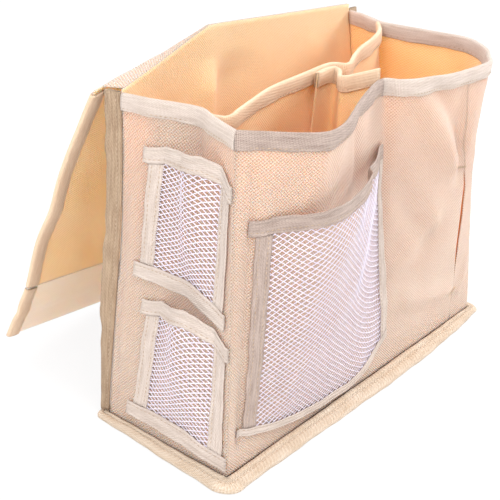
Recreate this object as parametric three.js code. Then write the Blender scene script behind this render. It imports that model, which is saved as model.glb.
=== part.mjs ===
import * as THREE from 'three';

// A cloth bedside caddy: a soft bag on a stiff base, with dividers, mesh pockets and an anchor flap.
// Lengths are in millimetres. X runs along the front from left to right, Y to the back and Z up.
// The origin is the middle of the base's underside.

// The bag
const width = 330;
const depth = 110;
const rimHeight = 240;

// Cloth, bias tape, netting and the base's stiffener
const clothThickness = 1.2;
const tapeThickness = 0.8;
const tapeWidth = 10.5;
const netThickness = 0.8;
const boardThickness = 2.5;
const boardInset = 1.5;
const sewnGap = 0.3;

// The bound seam that stands out round the base. Its reach is drawn in or let out at each corner, in
// the order back right, back left, front left, front right.
const flangeReach = 12;
const flangeReachShares = [0.7, 0.6, 1.25, 0.62];
const flangeGap = 0.7;
const flangeDrop = 1.6;
const flangeThickness = 2.8;

// The bound seams at the two back corners
const cornerTapeThickness = 2.4;
const cornerTapeLift = 2;
const leftCornerOutShares = [-0.3, 0.95];
const rightCornerOutShares = [1, -0.05];
const cornerTaperShare = 0.55;
const cornerTaperRiseShare = 0.35;
const cornerTapeFoot = 4;
const cornerTapeSteps = 8;

// The cross divider pinches the front in, and its edge stands up a little there
const pinchShare = 0.532;
const pinchLift = 7;
const pinchReach = 30;

// The long divider's seams on both gussets, measured from the front as a share of the depth
const longDividerShare = 0.776;

// The slit for drawing tissues, in the seam at the right of the front
const slitOpening = 7;
const slitRiseShares = [0.13, 0.64];
const slitSeamShares = [[-1, 0.9], [0, 0.9], [0.13, 0.898], [0.64, 0.883], [1, 0.812], [2, 0.812]];

// The flap and its end band
const ridgePeakShare = 0.69;
const ridgeLiftRight = 6;
const ridgeLiftPeak = 27;
const ridgeLiftLeft = 3;
const panelHingeGap = 0.6;
const flapHingeGap = 3;
const tapeHingeGap = 5;
const flapBow = 6;
const flapInsetLeft = 5;
const flapOverhangRight = 4;
const flapCornerDrop = 8;
const flapSeamHeightLeft = 67;
const flapSeamHeightRight = 26;
const flapSeamBack = 147;
const flapSeamBackRight = 172;
const bandSeamGap = 0.45;
const tapeSeamGap = 1.6;
const bandFloorGap = 1.2;
const bandFootHeightLeft = 21;
const bandFootBackLeft = 169;
const bandFootBackMiddle = 178;
const bandFootBackRight = 218;
const bandFloorShare = 0.36;

// The mesh pockets. The bulges are how far they stand off their wall at the middle of the mouth.
const pocketGap = 0.5;
const pocketTapeThickness = 1.6;
const pocketTapeWidth = 11;
const foldedTapeWidth = 6;
const frontPocketBulge = 13;
const sidePocketBulge = 12;

// Where each upright line of cloth meets the base, as a share of that wall's length, and where it meets
// the rim, as shares of the width and the depth from the base's near left corner.
const leftRimShares = [
  [0, 0.029, 1.009],
  [0.22, 0.045, 0.824],
  [0.38, 0.065, 0.679],
  [0.54, 0.078, 0.523],
  [0.67, 0.062, 0.412],
  [0.82, 0.046, 0.283],
  [1, 0.031, 0.154],
];
const frontRimShares = [
  [0, 0.031, 0.154],
  [0.045, 0.064, 0.045],
  [0.092, 0.097, -0.066],
  [0.146, 0.136, -0.171],
  [0.181, 0.171, -0.206],
  [0.235, 0.225, -0.175],
  [0.324, 0.308, -0.076],
  [0.43, 0.409, 0.048],
  [pinchShare, 0.505, 0.13],
  [0.575, 0.533, 0.044],
  [0.652, 0.589, -0.039],
  [0.735, 0.656, -0.11],
  [0.852, 0.753, -0.136],
  [0.93, 0.815, -0.13],
  [1, 0.858, -0.055],
];
const rightRimShares = [
  [0, 0.858, -0.055],
  [0.12, 0.909, 0.051],
  [0.25, 0.955, 0.269],
  [0.48, 0.937, 0.573],
  [0.68, 0.916, 0.89],
  [longDividerShare, 0.928, 1.03],
  [0.88, 0.942, 1.15],
  [1, 0.949, 1.299],
];
const backRimShares = [
  [0, 0.949, 1.299],
  [0.31, 0.667, 1.2],
  [ridgePeakShare, 0.317, 1.095],
  [1, 0.029, 1.009],
];
const longRimShares = [
  [0, 0.062, 0.82],
  [0.055, 0.088, 0.69],
  [0.1, 0.108, 0.54],
  [0.132, 0.1, 0.44],
  [0.152, 0.096, 0.38],
  [0.171, 0.112, 0.36],
  [0.204, 0.142, 0.385],
  [0.26, 0.196, 0.432],
  [0.35, 0.29, 0.505],
  [0.475, 0.419, 0.542],
  [0.555, 0.503, 0.564],
  [0.582, 0.53, 0.537],
  [0.601, 0.54, 0.483],
  [0.627, 0.567, 0.496],
  [0.68, 0.615, 0.568],
  [0.751, 0.685, 0.65],
  [0.825, 0.761, 0.713],
  [0.905, 0.839, 0.804],
  [0.96, 0.88, 0.885],
  [1, 0.905, 0.945],
];
const crossRimShares = [
  [0, 0.438, 0.49],
  [0.17, 0.478, 0.505],
  [0.26, 0.5, 0.49],
  [0.34, 0.494, 0.44],
  [0.46, 0.472, 0.39],
  [0.56, 0.458, 0.35],
  [0.68, 0.477, 0.3],
  [0.85, 0.497, 0.222],
  [1, 0.506, 0.162],
];

// How far the cloth swells out, or caves in, at two thirds of its height, along the front and right
const waistSwell = 6.6;
const waistSwellShares = [
  [-0.34, -0.35], [-0.25, 0], [0.88, 0], [1, -0.9], [1.12, -0.3], [1.33, 0], [2.25, 0], [2.34, -0.35],
];

const swellPeakScale = 27 / 4;
const shellSteps = 3;
const dividerSteps = 2;
const tapeRows = 7;
const tapeStep = 6;
const threadShare = 0.075;
const spreadStep = 8;
const cornerSteps = 4;
const seamRise = clothThickness + sewnGap;
const clothTop = rimHeight - sewnGap - tapeThickness;

// Every wall is a row of columns. A column has a foot and a top, and the way out of the cloth at both.
function column(along, foot, top) {
  return { along, foot, top };
}

function planPoint(xShare, yShare) {
  return new THREE.Vector2((xShare - 0.5) * width, (yShare - 0.5) * depth);
}

function stretchColumns(rimShares, footStart, footEnd, start, length, stepsEach) {
  const points = rimShares.map(([share, x, y]) => new THREE.Vector3(x, y, share));
  const curve = new THREE.CatmullRomCurve3(points, false, 'catmullrom', 0.5);
  const steps = (rimShares.length - 1) * stepsEach;
  const columns = [];
  for (let step = 0; step <= steps; step += 1) {
    const { x, y, z: share } = curve.getPoint(step / steps);
    columns.push(column(start + share * length, footStart.clone().lerp(footEnd, share), planPoint(x, y)));
  }
  return columns;
}

// The way out is square to the cloth, and longer at a fold, so that offset faces stay parallel.
function outwardAt(before, here, after) {
  const sides = [];
  if (before) sides.push(here.clone().sub(before).normalize());
  if (after) sides.push(after.clone().sub(here).normalize());
  const normals = sides.map((side) => new THREE.Vector2(side.y, -side.x));
  const middle = normals[0].clone().add(normals[normals.length - 1]).normalize();
  return middle.multiplyScalar(1 / Math.max(middle.dot(normals[0]), 0.6));
}

function withNormals(columns, closed) {
  const last = columns.length - 1;
  columns.forEach((here, place) => {
    const before = place > 0 ? columns[place - 1] : closed && columns[last - 1];
    const after = place < last ? columns[place + 1] : closed && columns[1];
    here.footOut = outwardAt(before && before.foot, here.foot, after && after.foot);
    here.topOut = outwardAt(before && before.top, here.top, after && after.top);
  });
  return columns;
}

function shellColumns() {
  const corners = [planPoint(0, 1), planPoint(0, 0), planPoint(1, 0), planPoint(1, 1), planPoint(0, 1)];
  const tables = [leftRimShares, frontRimShares, rightRimShares, backRimShares];
  const columns = [];
  let start = 0;
  tables.forEach((table, side) => {
    const length = corners[side].distanceTo(corners[side + 1]);
    const stretch = stretchColumns(table, corners[side], corners[side + 1], start, length, shellSteps);
    columns.push(...(side ? stretch.slice(1) : stretch));
    start += length;
  });
  return withNormals(columns, true);
}

// A point on a wall: how far along it in millimetres, how far up it as a share, and how far out of it.
function onWall(wall, along, rise, out) {
  const { columns } = wall;
  const swollen = out + wall.swell(along) * swellPeakScale * rise * rise * (1 - rise);
  let next = columns.findIndex((each) => each.along > along);
  if (next < 0) next = columns.length - 1;
  if (next < 1) next = 1;
  const before = columns[next - 1];
  const after = columns[next];
  const share = (along - before.along) / (after.along - before.along);
  const foot = before.foot.clone().lerp(after.foot, share);
  const top = before.top.clone().lerp(after.top, share);
  foot.addScaledVector(before.footOut.clone().lerp(after.footOut, share), swollen);
  top.addScaledVector(before.topOut.clone().lerp(after.topOut, share), swollen);
  const plan = foot.lerp(top, rise);
  const topHeight = clothTop + wall.lift(along);
  return new THREE.Vector3(plan.x, plan.y, THREE.MathUtils.lerp(wall.footHeight, topHeight, rise));
}

const frontStart = depth;
const frontEnd = depth + width;
const backStart = frontEnd + depth;
const backEnd = backStart + width;
const pinchAlong = frontStart + pinchShare * width;

// The value of a table of places and values between its rows, and zero beyond its ends
function valueIn(table, place) {
  const next = table.findIndex(([each]) => each > place);
  if (next < 1) return 0;
  const [[startPlace, startValue], [endPlace, endValue]] = [table[next - 1], table[next]];
  return THREE.MathUtils.mapLinear(place, startPlace, endPlace, startValue, endValue);
}

const shell = {
  columns: shellColumns(),
  footHeight: seamRise,
  lift: () => 0,
  swell: (along) => waistSwell * valueIn(waistSwellShares, (along - frontStart) / width),
};

const boardTop = seamRise + boardThickness;
const insideFace = clothThickness + sewnGap + sewnGap;
const wallHeight = clothTop - shell.footHeight;

function dividerWall(rimShares, footStart, footEnd, lift) {
  const length = footStart.distanceTo(footEnd);
  const columns = stretchColumns(rimShares, footStart, footEnd, 0, length, dividerSteps);
  return { columns: withNormals(columns, false), footHeight: boardTop + sewnGap, lift, swell: () => 0 };
}

const longFoot = planPoint(0, longDividerShare);
const longDivider = dividerWall(
  longRimShares,
  new THREE.Vector2(insideFace - width / 2, longFoot.y),
  new THREE.Vector2(width / 2 - insideFace, longFoot.y),
  () => 0,
);

const crossFoot = planPoint(pinchShare, 0);
const crossLength = longFoot.y - crossFoot.y - insideFace - insideFace;
const crossDivider = dividerWall(
  crossRimShares,
  new THREE.Vector2(crossFoot.x, longFoot.y - insideFace),
  new THREE.Vector2(crossFoot.x, crossFoot.y + insideFace),
  (along) => pinchLift * Math.max(0, (along - crossLength) / pinchReach + 1),
);

// A closed solid from a flat pattern of points and faces. place() puts a point on side 0 or side 1.
function solidFromPattern({ points, faces }, place) {
  const count = points.length;
  const positions = [0, 1].flatMap((side) => points.flatMap(([a, b]) => place(a, b, side).toArray()));
  const index = [];
  const edges = new Map();
  for (const [i, j, k] of faces) {
    index.push(i, j, k, i + count, k + count, j + count);
    for (const edge of [[i, j], [j, k], [k, i]]) edges.set(edge.join(' '), edge);
  }
  for (const [from, to] of edges.values()) {
    if (edges.has(`${to} ${from}`)) continue;
    index.push(to, from, from + count, to, from + count, to + count);
  }
  return facingOut(positions, index);
}

function facingOut(positions, index) {
  const corner = (place) => new THREE.Vector3().fromArray(positions, index[place] * 3);
  let volume = 0;
  for (let place = 0; place < index.length; place += 3) {
    volume += corner(place).dot(corner(place + 1).cross(corner(place + 2)));
  }
  if (volume < 0) {
    for (let place = 0; place < index.length; place += 3) {
      [index[place], index[place + 1]] = [index[place + 1], index[place]];
    }
  }
  const geometry = new THREE.BufferGeometry();
  geometry.setAttribute('position', new THREE.Float32BufferAttribute(positions, 3));
  geometry.setIndex(index);
  geometry.computeVertexNormals();
  return geometry;
}

// A plain pattern: columns and rows of four-sided faces
function gridPattern(across, up) {
  const points = [];
  const faces = [];
  for (let row = 0; row <= up; row += 1) {
    for (let step = 0; step <= across; step += 1) points.push([step / across, row / up]);
  }
  for (let row = 0; row < up; row += 1) {
    for (let step = 0; step < across; step += 1) {
      const first = row * (across + 1) + step;
      const above = first + across + 1;
      faces.push([first, first + 1, above + 1], [first, above + 1, above]);
    }
  }
  return { points, faces };
}

// A net pattern: a diamond hole in every cell and one round every inner corner of the cells
function netPattern(across, down, threadShare) {
  const points = [];
  const faces = [];
  const known = new Map();
  const reach = 0.5 - threadShare;
  const vertex = (cell, row, x, y) => {
    const point = [(cell + x) / across, (row + y) / down];
    const key = point.map((value) => value.toFixed(6)).join(' ');
    if (!known.has(key)) {
      known.set(key, points.length);
      points.push(point);
    }
    return known.get(key);
  };
  const outer = [[reach, 0], [1 - reach, 0], [1, reach], [1, 1 - reach],
    [1 - reach, 1], [reach, 1], [0, 1 - reach], [0, reach]];
  const inner = [[0.5, threadShare], [1 - threadShare, 0.5], [0.5, 1 - threadShare], [threadShare, 0.5]];
  const corners = [[0, 0], [1, 0], [1, 1], [0, 1]];
  for (let row = 0; row < down; row += 1) {
    for (let cell = 0; cell < across; cell += 1) {
      const ring = outer.map(([x, y]) => vertex(cell, row, x, y));
      const hole = inner.map(([x, y]) => vertex(cell, row, x, y));
      for (let side = 0; side < 4; side += 1) {
        const [start, end, next] = [ring[2 * side], ring[2 * side + 1], ring[(2 * side + 2) % 8]];
        const following = hole[(side + 1) % 4];
        faces.push([start, end, hole[side]], [end, next, following], [end, following, hole[side]]);
        const [x, y] = corners[(side + 1) % 4];
        const onEdge = cell + x === 0 || cell + x === across || row + y === 0 || row + y === down;
        if (onEdge) faces.push([end, vertex(cell, row, x, y), next]);
      }
    }
  }
  return { points, faces };
}

// A section swept through stations. place() puts a section point at a station.
function sweep(section, stations, place, closed = false) {
  const sides = section.length;
  const positions = stations.flatMap((station) => section.flatMap(([p, q]) => place(station, p, q).toArray()));
  const index = [];
  const runs = closed ? stations.length : stations.length - 1;
  for (let run = 0; run < runs; run += 1) {
    const here = run * sides;
    const there = ((run + 1) % stations.length) * sides;
    for (let side = 0; side < sides; side += 1) {
      const next = (side + 1) % sides;
      index.push(here + side, here + next, there + next, here + side, there + next, there + side);
    }
  }
  if (!closed) {
    const outline = section.map(([p, q]) => new THREE.Vector2(p, q));
    const turn = THREE.ShapeUtils.isClockWise(outline);
    const end = (stations.length - 1) * sides;
    for (const [i, j, k] of THREE.ShapeUtils.triangulateShape(outline, [])) {
      if (turn) index.push(i, j, k, end + i, end + k, end + j);
      else index.push(i, k, j, end + i, end + j, end + k);
    }
  }
  return facingOut(positions, index);
}

function stationsBetween(wall, start, end) {
  const inner = wall.columns.map((each) => each.along).filter((along) => along > start && along < end);
  const clear = inner.filter((along) => along - start > sewnGap && end - along > sewnGap);
  return [start, ...clear, end];
}

// A bias tape folded over an edge of cloth: an outer leg, the fold and an inner leg
function foldedTape(reach, sheetFront, sheetBack) {
  const front = sheetFront + sewnGap;
  const back = sheetBack - sewnGap;
  return [
    [-reach, front + tapeThickness], [sewnGap + tapeThickness, front + tapeThickness],
    [sewnGap + tapeThickness, back - tapeThickness], [-reach, back - tapeThickness],
    [-reach, back], [sewnGap, back], [sewnGap, front], [-reach, front],
  ];
}

function edgeTape(wall, start, end, sheetFront, sheetBack, topRise) {
  const section = foldedTape(tapeWidth, sheetFront, sheetBack);
  const height = clothTop - wall.footHeight;
  return sweep(section, stationsBetween(wall, start, end), (along, up, out) => (
    onWall(wall, along, topRise(along) + up / height, out)));
}

const clothMaterial = material('#ecd8c3', 0.9);
const liningMaterial = material('#f3d0a4', 0.9);
const tapeMaterial = material('#f2e6d6', 0.8);
const netMaterial = material('#f1ecf2', 0.7);
const boardMaterial = material('#d9cbb8', 0.85);

function material(color, roughness) {
  return new THREE.MeshStandardMaterial({ color, roughness, metalness: 0 });
}

const caddy = new THREE.Group();

function add(name, geometry, look) {
  const mesh = new THREE.Mesh(geometry, look);
  mesh.name = name;
  caddy.add(mesh);
}

// The base: a cloth panel, the stiffener on it, and the bound seam all round
function addBase() {
  const panel = new THREE.BoxGeometry(width, depth, clothThickness);
  panel.translate(0, 0, clothThickness / 2);
  add('base_panel', panel, clothMaterial);

  const inset = clothThickness + boardInset;
  const board = new THREE.BoxGeometry(width - 2 * inset, depth - 2 * inset, boardThickness);
  board.translate(0, 0, seamRise + boardThickness / 2);
  add('base_board', board, boardMaterial);

  const corners = [planPoint(1, 1), planPoint(0, 1), planPoint(0, 0), planPoint(1, 0)];
  const turns = corners.flatMap((corner, quarter) => (
    Array.from({ length: cornerSteps + 1 }, (_, step) => ({
      corner,
      angle: (quarter + step / cornerSteps) * (Math.PI / 2),
      reach: flangeReach * flangeReachShares[quarter],
    }))));
  const section = [
    [0, flangeDrop], [1, 0],
    [1, flangeThickness], [0, flangeDrop + flangeThickness],
  ];
  const binding = sweep(section, turns, ({ corner, angle, reach }, share, height) => {
    const out = THREE.MathUtils.lerp(flangeGap, reach, share);
    return new THREE.Vector3(corner.x + Math.cos(angle) * out, corner.y + Math.sin(angle) * out, height);
  }, true);
  add('base_binding', binding, tapeMaterial);
}

// A cloth panel of the shell between two edges, each given as a distance along for a rise. Its faces
// follow the shell's own columns, and spread out beside an edge that isn't upright.
function addPanel(name, startAt, endAt, up, topRise, look) {
  const rises = Array.from({ length: up + 1 }, (_, row) => row / up);
  const starts = rises.map(startAt);
  const ends = rises.map(endAt);
  const fixed = stationsBetween(shell, Math.max(...starts), Math.min(...ends)).slice(1, -1);
  const spread = (values) => 1 + Math.round((Math.max(...values) - Math.min(...values)) / spreadStep);
  const [startSteps, endSteps] = [spread(starts), spread(ends)];
  const alongAt = (place, rise) => {
    if (place < startSteps) return THREE.MathUtils.lerp(startAt(rise), fixed[0], place / startSteps);
    const past = place - startSteps - fixed.length + 1;
    if (past <= 0) return fixed[place - startSteps];
    return THREE.MathUtils.lerp(fixed[fixed.length - 1], endAt(rise), past / endSteps);
  };
  const across = startSteps + fixed.length - 1 + endSteps;
  add(name, solidFromPattern(gridPattern(across, up), (a, b, side) => {
    const along = alongAt(Math.round(a * across), b);
    return onWall(shell, along, b * topRise(along), side ? -clothThickness : 0);
  }), look);
}

const half = sewnGap / 2;
const flatTop = () => 1;

function slitHalf(rise) {
  const [low, high] = slitRiseShares;
  const share = THREE.MathUtils.clamp((rise - low) / (high - low), 0, 1);
  return half + (slitOpening / 2) * Math.sin(Math.PI * share);
}

// The top edge of the back panel: up to the ridge's peak, then down to the left corner
function ridgeRise(along) {
  const peakAlong = backStart + ridgePeakShare * width;
  const lift = along < peakAlong
    ? THREE.MathUtils.mapLinear(along, backStart, peakAlong, ridgeLiftRight, ridgeLiftPeak)
    : THREE.MathUtils.mapLinear(along, peakAlong, backEnd, ridgeLiftPeak, ridgeLiftLeft);
  return 1 + lift / wallHeight;
}

function addWalls() {
  addPanel('left_gusset', () => half, () => frontStart - half, 7, flatTop, clothMaterial);

  const slitAlong = (rise) => frontStart + valueIn(slitSeamShares, rise) * width;
  const slitLeft = (rise) => slitAlong(rise) - slitHalf(rise);
  const slitRight = (rise) => slitAlong(rise) + slitHalf(rise);
  addPanel('front_panel', () => frontStart + half, slitLeft, 10, flatTop, clothMaterial);
  addPanel('tissue_side_panel', slitRight, () => frontEnd - half, 10, flatTop, clothMaterial);

  addPanel('right_gusset', () => frontEnd + half, () => backStart - half, 9, flatTop, clothMaterial);
  const backTop = (along) => ridgeRise(along) - panelHingeGap / wallHeight;
  addPanel('back_panel', () => backStart + half, () => backEnd - half, 5, backTop, liningMaterial);
}

function addRimTapes() {
  const tape = (name, start, end) => add(
    name,
    edgeTape(shell, start, end, 0, -clothThickness, flatTop),
    tapeMaterial,
  );
  tape('rim_tape_left_gusset', half + clothThickness, frontStart - half);
  tape('rim_tape_front_left', frontStart + half, pinchAlong - half);
  tape('rim_tape_front_right', pinchAlong + half, frontEnd - half);
  tape('rim_tape_right_gusset', frontEnd + half, backStart - half - clothThickness - tapeThickness);
}

// Tape round the seam allowance that stands out at a back corner
function addCornerTape(name, along, outShares) {
  const reach = new THREE.Vector3(...outShares, 0).normalize();
  const across = new THREE.Vector3(-reach.y, reach.x, 0);
  const start = sewnGap + sewnGap;
  const edge = cornerTapeThickness / 2;
  const section = [[start, -edge], [start + tapeWidth, -edge], [start + tapeWidth, edge], [start, edge]];
  const foot = cornerTapeFoot / wallHeight;
  const head = 1 + cornerTapeLift / wallHeight;
  const rises = Array.from({ length: cornerTapeSteps + 1 }, (_, step) => (
    THREE.MathUtils.lerp(foot, head, (step / cornerTapeSteps) ** 2)));
  const taper = (rise) => 1 - cornerTaperShare * Math.max(0, 1 - rise / cornerTaperRiseShare);
  add(name, sweep(section, rises, (rise, out, over) => (
    onWall(shell, along, rise, 0).addScaledVector(reach, out * taper(rise)).addScaledVector(across, over)
  )), tapeMaterial);
}

function addDivider(name, divider, length, up) {
  const stations = stationsBetween(divider, 0, length);
  const across = stations.length - 1;
  const edge = clothThickness / 2;
  add(name, solidFromPattern(gridPattern(across, up), (a, b, side) => (
    onWall(divider, stations[Math.round(a * across)], b, side ? -edge : edge))), clothMaterial);
  add(`${name}_tape`, edgeTape(divider, 0, length, edge, -edge, flatTop), tapeMaterial);
}

// A mesh pocket: a net framed by tape, laid on one wall of the shell. Its outline's corners are given as
// shares of that wall's length and of its height.
function addPocket(name, pocket) {
  const { start, length, corners, mouthSagShares, footSagShares, narrowTapeWidth, bulge, cells } = pocket;
  const [topLeft, topRight, footRight, footLeft] = corners;
  const lerp2 = (from, to, share) => from.map((value, place) => THREE.MathUtils.lerp(value, to[place], share));
  const acrossShare = (size) => size / (length * (topRight[0] - topLeft[0]));
  const downShare = (size) => size / (wallHeight * (topLeft[1] - footLeft[1]));
  const leftShare = acrossShare(pocketTapeWidth);
  const rightShare = acrossShare(narrowTapeWidth);
  const heightShare = downShare(pocketTapeWidth);
  const gapAcross = acrossShare(sewnGap);
  const gapDown = downShare(sewnGap);
  const footShare = 1 - downShare(narrowTapeWidth);
  const footStop = footShare - gapDown;

  const standOff = (a, b) => {
    const across = THREE.MathUtils.clamp((a - leftShare) / (1 - leftShare - rightShare), 0, 1);
    const down = THREE.MathUtils.clamp((b - heightShare) / (footShare - heightShare), 0, 1);
    return bulge * Math.sin(Math.PI * across) * (1 - down * down);
  };
  const place = (a, b, out) => {
    const top = lerp2(topLeft, topRight, a);
    const foot = lerp2(footLeft, footRight, a);
    const [along, rise] = lerp2(top, foot, b);
    const sag = valueIn(mouthSagShares, a) * (1 - b) + valueIn(footSagShares, a) * b;
    return onWall(shell, start + along * length, rise - sag, pocketGap + standOff(a, b) + out);
  };
  const strip = (part, from, to, across, down) => {
    const pattern = gridPattern(across, down);
    add(`${name}_${part}`, solidFromPattern(pattern, (a, b, side) => place(
      THREE.MathUtils.lerp(from[0], to[0], a),
      THREE.MathUtils.lerp(from[1], to[1], b),
      side ? 0 : pocketTapeThickness,
    )), tapeMaterial);
  };

  const netFrom = [leftShare + gapAcross, heightShare + gapDown];
  const netTo = [1 - rightShare - gapAcross, footStop];
  const netOut = (pocketTapeThickness - netThickness) / 2;
  add(`${name}_net`, solidFromPattern(netPattern(...cells, threadShare), (a, b, side) => place(
    THREE.MathUtils.lerp(netFrom[0], netTo[0], a),
    THREE.MathUtils.lerp(netFrom[1], netTo[1], b),
    netOut + (side ? 0 : netThickness),
  )), netMaterial);

  const steps = Math.round((length * (topRight[0] - topLeft[0])) / tapeStep);
  const sideTop = heightShare + gapDown;
  strip('mouth_tape', [0, 0], [1, heightShare], steps, 1);
  strip('foot_tape', [0, footShare], [1, 1], steps, 1);
  strip('left_tape', [0, sideTop], [leftShare, footStop], 2, tapeRows);
  strip('right_tape', [1 - rightShare, sideTop], [1, footStop], 2, tapeRows);
}

// The flap hangs from the hinge line along the ridge. It is ruled between that line and the band's seam.
const ridgeOut = clothThickness / 2;
const peakAlong = backStart + ridgePeakShare * width;
const ridgeRight = onWall(shell, backStart, ridgeRise(backStart), ridgeOut);
const hingePeak = onWall(shell, peakAlong, ridgeRise(peakAlong), ridgeOut);
const ridgeLeft = onWall(shell, backEnd, ridgeRise(backEnd), ridgeOut);
const leftEdgeX = flapInsetLeft - width / 2;
const hingeRight = ridgeRight.clone().lerp(hingePeak, -flapOverhangRight / (ridgeRight.x - hingePeak.x));
const leftReach = (hingeRight.x - leftEdgeX) / (hingeRight.x - hingePeak.x);
const hingeLeft = hingeRight.clone().lerp(hingePeak, leftReach);
const seamLeft = new THREE.Vector3(leftEdgeX, flapSeamBack, flapSeamHeightLeft);
const seamRight = new THREE.Vector3(hingeRight.x, flapSeamBackRight, flapSeamHeightRight);

function onFlap(share, down, out) {
  const top = hingeRight.clone().lerp(hingeLeft, share);
  const foot = seamRight.clone().lerp(seamLeft, share);
  const hang = foot.clone().sub(top);
  const along = hingeLeft.clone().sub(hingeRight);
  const outward = along.clone().cross(hang).normalize();
  if (outward.y < 0) outward.negate();
  const bow = flapBow * Math.sin(Math.PI * down ** 1.4);
  return top.addScaledVector(hang, down).addScaledVector(outward, bow + out);
}

function onBand(share, down, out) {
  const top = seamRight.clone().lerp(seamLeft, share);
  const fromLeft = 1 - share;
  const floor = bandFloorGap;
  const left = new THREE.Vector3(leftEdgeX, bandFootBackLeft, bandFootHeightLeft);
  const middleX = THREE.MathUtils.lerp(leftEdgeX, hingeRight.x, bandFloorShare);
  const middle = new THREE.Vector3(middleX, bandFootBackMiddle, floor);
  const right = new THREE.Vector3(hingeRight.x, bandFootBackRight, floor);
  const foot = fromLeft < bandFloorShare
    ? left.lerp(middle, fromLeft / bandFloorShare)
    : middle.clone().lerp(right, (fromLeft - bandFloorShare) / (1 - bandFloorShare));
  const hang = foot.clone().sub(top);
  const along = seamLeft.clone().sub(seamRight);
  const outward = along.cross(hang).normalize();
  if (outward.y < 0) outward.negate();
  return top.addScaledVector(hang, down).addScaledVector(outward, out);
}

// How far down the flap's cloth starts: at the hinge line, but lower left of the peak, along the fold
function flapTop(share, gap) {
  const peakShare = (hingeRight.x - hingePeak.x) / (hingeRight.x - leftEdgeX);
  const length = hingeLeft.distanceTo(seamLeft);
  const cornerDrop = (hingeLeft.z - ridgeLeft.z + flapCornerDrop) / length;
  const start = gap / length;
  return start + cornerDrop * Math.max(0, (share - peakShare) / (1 - peakShare));
}

function addFlap() {
  const flapLength = hingeLeft.distanceTo(seamLeft);
  const flapWidth = hingeLeft.distanceTo(hingeRight);
  const edgeShare = (sewnGap + tapeThickness) / flapWidth;
  const foot = 1 - bandSeamGap / flapLength;
  const steps = 12;
  const rows = 8;
  const bandSteps = 20;
  const bandRows = 5;
  const clothIn = -clothThickness / 2;
  add('flap', solidFromPattern(gridPattern(steps, rows), (a, b, side) => {
    const share = THREE.MathUtils.lerp(edgeShare, 1 - edgeShare, a);
    const down = THREE.MathUtils.lerp(flapTop(share, flapHingeGap), foot, b);
    return onFlap(share, down, side ? clothIn : -clothIn);
  }), liningMaterial);

  const bandLength = seamLeft.distanceTo(onBand(1, 1, 0));
  const bandStart = bandSeamGap / bandLength;
  const bandFoot = 1 - (sewnGap + tapeThickness) / bandLength;
  add('end_band', solidFromPattern(gridPattern(bandSteps, bandRows), (a, b, side) => {
    const share = THREE.MathUtils.lerp(edgeShare, 1 - edgeShare, a);
    return onBand(share, THREE.MathUtils.lerp(bandStart, bandFoot, b), side ? clothIn : -clothIn);
  }), clothMaterial);

  const tapeShare = tapeWidth / flapWidth;
  const section = foldedTape(tapeShare, -clothIn, clothIn)
    .map(([over, out]) => [over > 0 ? over / flapWidth : over, out]);
  const sideTape = (name, place, top, bottom, count, left) => {
    const downs = Array.from({ length: count + 1 }, (_, step) => step / count);
    add(name, sweep(section, downs, (step, over, out) => {
      const inner = edgeShare - over;
      const share = left ? 1 - inner : inner;
      return place(share, THREE.MathUtils.lerp(top(share), bottom, step), out);
    }), tapeMaterial);
  };
  const tapeTop = (share) => flapTop(share, tapeHingeGap);
  const tapeFoot = 1 - tapeSeamGap / flapLength;
  const bandTop = () => tapeSeamGap / bandLength;
  sideTape('flap_left_tape', onFlap, tapeTop, tapeFoot, rows, true);
  sideTape('flap_right_tape', onFlap, tapeTop, tapeFoot, rows, false);
  sideTape('end_band_left_tape', onBand, bandTop, bandFoot, bandRows, true);
  sideTape('end_band_right_tape', onBand, bandTop, bandFoot, bandRows, false);
}

addBase();
addWalls();
addRimTapes();
addCornerTape('back_left_corner_tape', 0, leftCornerOutShares);
addCornerTape('back_right_corner_tape', backStart, rightCornerOutShares);
addDivider('long_divider', longDivider, width - 2 * insideFace, 7);
addDivider('cross_divider', crossDivider, crossLength, 5);
addPocket('front_pocket', {
  start: frontStart,
  length: width,
  corners: [[0.044, 0.766], [0.53, 0.812], [0.585, 0.13], [0.046, 0.11]],
  mouthSagShares: [[0, 0], [0.2, -0.022], [0.6, -0.022], [0.75, -0.004], [1, 0]],
  footSagShares: [[0, 0], [0.1, 0.021], [0.3, 0.065], [0.5, 0.092], [0.7, 0.1], [0.8, 0.094], [0.86, 0.08],
    [0.91, 0.06], [0.96, 0.03], [1, 0]],
  narrowTapeWidth: foldedTapeWidth,
  bulge: frontPocketBulge,
  cells: [14, 9],
});
addPocket('upper_side_pocket', {
  start: 0,
  length: depth,
  corners: [[0.247, 0.877], [0.975, 0.862], [0.935, 0.452], [0.207, 0.489]],
  mouthSagShares: [[0, 0], [0.2, -0.014], [0.5, -0.03], [0.7, -0.049], [0.85, -0.037], [1, 0]],
  footSagShares: [[0, 0], [0.6, -0.014], [1, 0]],
  narrowTapeWidth: pocketTapeWidth,
  bulge: sidePocketBulge,
  cells: [5, 6],
});
addPocket('lower_side_pocket', {
  start: 0,
  length: depth,
  corners: [[0.295, 0.432], [0.975, 0.409], [0.97, 0.024], [0.208, 0.042]],
  mouthSagShares: [[0, 0], [0.2, -0.02], [0.4, -0.042], [0.6, -0.063], [0.7, -0.057], [0.85, -0.034], [1, 0]],
  footSagShares: [[0, 0], [1, 0]],
  narrowTapeWidth: pocketTapeWidth,
  bulge: sidePocketBulge,
  cells: [5, 6],
});
addFlap();

export default caddy;
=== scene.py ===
import math

import bmesh
import bpy
import numpy as np
from mathutils import Matrix, Vector


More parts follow.
